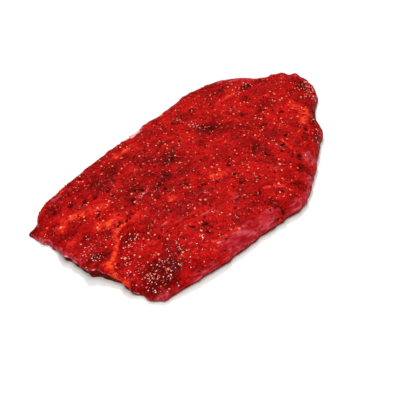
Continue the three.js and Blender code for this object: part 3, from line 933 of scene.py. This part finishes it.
class Surface:
    """The top of the meat, where spice can be set down, and its outline."""

    def __init__(self, context):
        meat = bpy.data.objects["marinated_steak"]
        self.tree = BVHTree.FromObject(meat, context.evaluated_depsgraph_get())
        half_long, half_wide = COLUMNS // 2, ROWS // 2
        across, up = np.arange(-half_long, half_long), np.arange(-half_wide, half_wide)
        at_end, at_side = np.full(len(up), half_long), np.full(len(across), half_wide)
        columns = np.concatenate([across, at_end, -across, -at_end])
        rows = np.concatenate([-at_side, up, at_side, -up])
        self.rim = plan_of(columns.astype(float), rows.astype(float))[::RIM_STEP]

    def below(self, x, y):
        """The surface under a place in millimetres, as a point and its normal, or None off the meat."""
        point, normal, _, _ = self.tree.ray_cast(Vector((x, y, ABOVE)) * MM, Vector((0, 0, -1)))
        return None if point is None else (np.array(point) / MM, np.array(normal))

    def solid_spots(self, seeds, size):
        """Where the solid has its seeds or its pepper, and how large they are here."""
        grains = [(place, radius) for place, radius, is_seed in solid_grains(self.rim) if is_seed == seeds]
        return [self.below(*place) for place, _ in grains], [size * radius for _, radius in grains]

    def random_spots(self, count, seed, density, lowest):
        """Seeded places above a height, each kept with the density found there."""
        random = np.random.default_rng(seed)
        kept = []
        while len(kept) < count:
            tries = (random.random((TRIES, 2)) - 0.5) * [LENGTH, WIDTH]
            points = np.column_stack([tries, np.full(TRIES, PATCH_HEIGHT)])
            wanted = random.random(TRIES) < density(points)
            hits = (self.below(x, y) for x, y in tries[wanted])
            kept += [hit for hit in hits if hit is not None and hit[0][2] > lowest]
        return kept[:count]


def gathered(patches, seed, elsewhere, extra):
    """A density that is low elsewhere and rises by the extra in the middle of the patches."""
    return lambda points: elsewhere + extra * patch_mask(points, patches, seed) ** CROWDING


def mostly_small(random, count, radius):
    least, added, rarity = radius
    return least + added * random.random(count) ** rarity


def scatter(context, name, shapes, spots, sizes, lift, random):
    """One mesh with a copy of a shape at each spot, turned at random about the surface's normal."""
    all_points, all_triangles, all_tints = [], [], []
    tints = random.random(len(spots))
    start = 0
    for spot, size, tint in zip(spots, sizes, tints):
        if spot is None:
            continue
        point, normal = spot
        size *= context.scene.spice_amounts.grain_size
        points, triangles = shapes[random.integers(len(shapes))]
        lean = Vector(normal + random.normal(0, LEAN, 3)).normalized()
        spin = Matrix.Rotation(random.uniform(0, 2 * math.pi), 3, "Z")
        turn = np.array(lean.to_track_quat("Z", "Y").to_matrix() @ spin)
        stretch = size * random.uniform(*UNEVENNESS, 3)
        all_points.append((points * stretch) @ turn.T + point + np.array(lean) * lift * size)
        all_triangles.append(triangles + start)
        all_tints.append(np.full(len(points), tint))
        start += len(points)
    mesh = bpy.data.meshes.new(name)
    mesh.from_pydata((np.vstack(all_points) * MM).tolist(), [], np.vstack(all_triangles).tolist())
    add_attribute(mesh, "tint", np.concatenate(all_tints))
    piece = bpy.data.objects.new(name, mesh)
    context.collection.objects.link(piece)
    return piece


class STEAK_OT_pepper(bpy.types.Operator):
    """Adds cracked black pepper, thickest in the dark drifts of paste"""

    bl_idname = "steak.pepper"
    bl_label = "Cracked pepper"

    def execute(self, context):
        random = np.random.default_rng(101)
        shapes = [
            broken_ball(context, (1, 0.95, 0.9), [((0, 0, 1), 0.35), ((1, 0.3, 0.2), 0.6)]),
            broken_ball(
                context, (1, 1, 1), [((0.2, 0.1, 1), 0.5), ((-1, 0.5, 0), 0.45), ((0.4, -1, 0.3), 0.6)]
            ),
            broken_ball(context, (1.05, 0.9, 0.8), [((0, 1, 0.6), 0.3), ((0.5, -0.6, 1), 0.5)]),
        ]
        surface = Surface(context)
        spots, sizes = surface.solid_spots(False, GRAIN_SIZE)
        spots += [surface.below(*place) for place in LARGE_PEPPER]
        sizes += list(random.uniform(*LARGE_PEPPER_RADIUS, len(LARGE_PEPPER)))
        beside = np.repeat(LARGE_PEPPER, PEPPER_CRUMBS, axis=0)
        spots += [surface.below(*place) for place in beside + random.normal(0, CRUMB_SPREAD, beside.shape)]
        sizes += list(random.uniform(*CRUMB_RADIUS, len(beside)))
        count = context.scene.spice_amounts.pepper
        spots += surface.random_spots(count, 102, gathered(PASTE_AND_SHADE_PATCHES, 51, 0.25, 0.75), lowest=9)
        sizes += list(random.uniform(*PEPPER_RADIUS, count))
        piece = scatter(context, "cracked_pepper", shapes, spots, sizes, 0.15, random)
        # Crushed peppercorns: dull and nearly black, redder where the broken core has soaked up oil.
        pepper = context.scene.marinade_colours.pepper
        stops = [(0.0, pepper), (0.6, linear("640a07")), (1.0, linear("8a1c12"))]
        material = spice_material("cracked_black_pepper", stops, 0.5, 0.0, grit=0.5)
        finish_piece(piece, material)
        return {"FINISHED"}


class STEAK_OT_seeds(bpy.types.Operator):
    """Adds the pale seeds over the whole top, with only a few by the rim of the far long side"""

    bl_idname = "steak.seeds"
    bl_label = "Seeds"

    def execute(self, context):
        random = np.random.default_rng(201)
        shapes = [seed_shape(context, (1.1, 0.85, 0.75)), seed_shape(context, (1, 0.95, 0.6))]
        surface = Surface(context)
        spots, sizes = surface.solid_spots(True, LARGE_SEED_SIZE)

        def density(points):
            near_rim = 1 - smooth(distance_to_line(points[:, :2], surface.rim) / SEEDLESS_RIM)
            far_rim = smooth((points[:, 1] - SEEDLESS_FROM_Y) / SEEDLESS_FADE) * near_rim
            bare = patch_mask(points, BARE_PATCHES, 61)
            return (EVEN_DENSITY - BARE_LOSS * bare) * (1 - RIM_LOSS * far_rim)

        count = context.scene.spice_amounts.seeds
        spots += surface.random_spots(count, 202, density, lowest=11)
        sizes += list(mostly_small(random, count, SEED_RADIUS))
        piece = scatter(context, "pale_seeds", shapes, spots, sizes, 0.1, random)
        # Seeds under chilli oil: smooth, pale and stained orange, with a soft gloss.
        seed = context.scene.marinade_colours.seed
        stops = [(0.0, linear("d83c28")), (0.45, seed), (1.0, linear("ffae86"))]
        finish_piece(piece, spice_material("oiled_seed", stops, 0.35, 0.4, grit=0.9))
        return {"FINISHED"}


class STEAK_OT_flakes(bpy.types.Operator):
    """Adds torn scraps of dried chilli"""

    bl_idname = "steak.flakes"
    bl_label = "Chilli flakes"

    def execute(self, context):
        random = np.random.default_rng(301)
        shapes = [flake_shape(context, turn) for turn in (0.4, 1.9, 3.3)]
        surface = Surface(context)
        count = context.scene.spice_amounts.flakes
        spots = surface.random_spots(count, 302, lambda points: EVEN_DENSITY, lowest=9)
        sizes = random.uniform(*FLAKE_RADIUS, count)
        piece = scatter(context, "chilli_flakes", shapes, spots, sizes, 0.12, random)
        # Dried chilli skin: thin and leathery, from brown red to orange, glossy where oil lies on it.
        flake = context.scene.marinade_colours.flake
        stops = [(0.0, linear("5a0604")), (0.5, flake), (1.0, linear("d8321a"))]
        finish_piece(piece, spice_material("dried_chilli_skin", stops, 0.35, 0.4, grit=1.2))
        return {"FINISHED"}


class STEAK_OT_granules(bpy.types.Operator):
    """Adds wet garlic and salt granules in clusters, thickest on the near corner's lobe"""

    bl_idname = "steak.granules"
    bl_label = "Garlic granules"

    def execute(self, context):
        random = np.random.default_rng(401)
        shapes = [
            broken_ball(context, (1, 0.8, 0.8), [((0, 0.2, 1), 0.6)]),
            broken_ball(context, (0.9, 1, 0.8), [((1, 0, 0.3), 0.5), ((-0.3, 1, 0.5), 0.7)]),
        ]
        surface = Surface(context)
        count = context.scene.spice_amounts.granules
        spots = surface.random_spots(count, 402, gathered(GRANULE_PATCHES, 81, 0.006, 0.9), lowest=7)
        sizes = mostly_small(random, count, GRANULE_RADIUS)
        piece = scatter(context, "garlic_granules", shapes, spots, sizes, 0.1, random)
        # Wet garlic and salt: pale pink grains whose film of water glints; their near-white tone is partly a
        # painted glint.
        granule_and_glint = context.scene.marinade_colours.granule_and_glint
        stops = [(0.0, linear("e86e62")), (0.5, linear("ffaca4")), (1.0, granule_and_glint)]
        material = spice_material("wet_garlic_granule_and_glint", stops, 0.25, 1.0, grit=0.8)
        finish_piece(piece, material)
        return {"FINISHED"}


class STEAK_OT_ground_spice(bpy.types.Operator):
    """Adds the fine dark grains of ground spice"""

    bl_idname = "steak.ground_spice"
    bl_label = "Ground spice"

    def execute(self, context):
        random = np.random.default_rng(501)
        start_ball(1, (1, 0.8, 0.7))
        shapes = [take_shape(context)]
        surface = Surface(context)
        count = context.scene.spice_amounts.ground
        spots = surface.random_spots(count, 502, gathered(PASTE_AND_SHADE_PATCHES, 71, 0.2, 0.8), lowest=6)
        sizes = random.uniform(*GROUND_RADIUS, count)
        piece = scatter(context, "ground_spice", shapes, spots, sizes, 0.0, random)
        # Ground spice soaked in oil: fine dark crumbs, almost matt.
        colours = context.scene.marinade_colours
        stops = [(0.0, colours.pepper), (0.6, colours.paste), (1.0, colours.flake)]
        finish_piece(piece, spice_material("ground_spice", stops, 0.5, 0.1, grit=0.5))
        return {"FINISHED"}


# ---- Studio ----
# The camera stands at the near corner of the cut end and is rolled a little, as in the photo.
CAMERA_PLACE = (-0.4768, -0.4263, 0.480)
CAMERA_AIM = (-0.04574, -0.01724, 0)
CAMERA_ROLL = -5.28
CAMERA_LENS = 73.46
CAMERA_SENSOR = 36
# Lamps as their name, place, size and power. All face the middle of the steak.
LAMPS = [
    ("overhead", (-0.1, -0.05, 1.5), 1.2, 13.5),
    ("back", (0.55, 0.5, 1.2), 0.16, 8),
    ("front", (-1.0, -1.1, 0.9), 0.8, 11),
]
SKY_STRENGTH = 0.24
FLOOR_SIZE = 40


def facing(place, aim):
    return (Vector(aim) - Vector(place)).to_track_quat("-Z", "Y")


class STEAK_OT_studio(bpy.types.Operator):
    """Adds the pale floor, the soft lights and the camera"""

    bl_idname = "steak.studio"
    bl_label = "Studio"

    def execute(self, context):
        deselect()
        bpy.ops.mesh.primitive_plane_add(size=FLOOR_SIZE)
        floor = context.object
        floor.name = "floor"
        material, tree = new_material("studio_floor")
        look = {"Base Color": opaque(linear("f2f1ee")), "Roughness": 0.8}
        add_node(tree, "OutputMaterial", {"Surface": add_node(tree, "BsdfPrincipled", look)})
        floor.data.materials.append(material)

        world = bpy.data.worlds.new("studio")
        world.use_nodes = True
        sky = world.node_tree.nodes["Background"]
        sky.inputs["Color"].default_value = opaque(linear("ffffff"))
        sky.inputs["Strength"].default_value = SKY_STRENGTH
        context.scene.world = world
        for name, place, size, power in LAMPS:
            deselect()
            bpy.ops.object.light_add(type="AREA", location=place)
            lamp = context.object
            lamp.name = name
            lamp.data.shape = "SQUARE"
            lamp.data.size = size
            lamp.data.energy = power
            lamp.rotation_euler = facing(place, (0, 0, 0)).to_euler()

        deselect()
        bpy.ops.object.camera_add()
        camera = context.object
        camera.name = "camera"
        camera.data.lens = CAMERA_LENS
        camera.data.sensor_width = CAMERA_SENSOR
        roll = Quaternion((0, 0, 1), math.radians(CAMERA_ROLL))
        turn = facing(CAMERA_PLACE, CAMERA_AIM) @ roll
        camera.matrix_world = Matrix.Translation(CAMERA_PLACE) @ turn.to_matrix().to_4x4()
        context.scene.camera = camera
        context.scene.view_settings.view_transform = "Standard"
        return {"FINISHED"}


class STEAK_PT_panel(bpy.types.Panel):
    """Lists the steps that make the steak"""

    bl_idname = "STEAK_PT_panel"
    bl_label = "Marinated steak"
    bl_space_type = "VIEW_3D"
    bl_region_type = "UI"
    bl_category = "Steak"

    def draw(self, context):
        for step in STEPS:
            self.layout.operator(step.bl_idname)
        for group in (context.scene.marinade_colours, context.scene.spice_amounts):
            for name in group.__annotations__:
                self.layout.prop(group, name)


STEPS = (
    STEAK_OT_studio,
    STEAK_OT_meat,
    STEAK_OT_pepper,
    STEAK_OT_seeds,
    STEAK_OT_flakes,
    STEAK_OT_granules,
    STEAK_OT_ground_spice,
)
CLASSES = (MarinadeColours, SpiceAmounts, *STEPS, STEAK_PT_panel)


def register():
    for cls in CLASSES:
        bpy.utils.register_class(cls)
    bpy.types.Scene.marinade_colours = PointerProperty(type=MarinadeColours)
    bpy.types.Scene.spice_amounts = PointerProperty(type=SpiceAmounts)


def unregister():
    del bpy.types.Scene.spice_amounts
    del bpy.types.Scene.marinade_colours
    for cls in reversed(CLASSES):
        bpy.utils.unregister_class(cls)


def main():
    register()
    for step in STEPS:
        group, name = step.bl_idname.split(".")
        getattr(getattr(bpy.ops, group), name)()


if __name__ == "__main__":
    main()
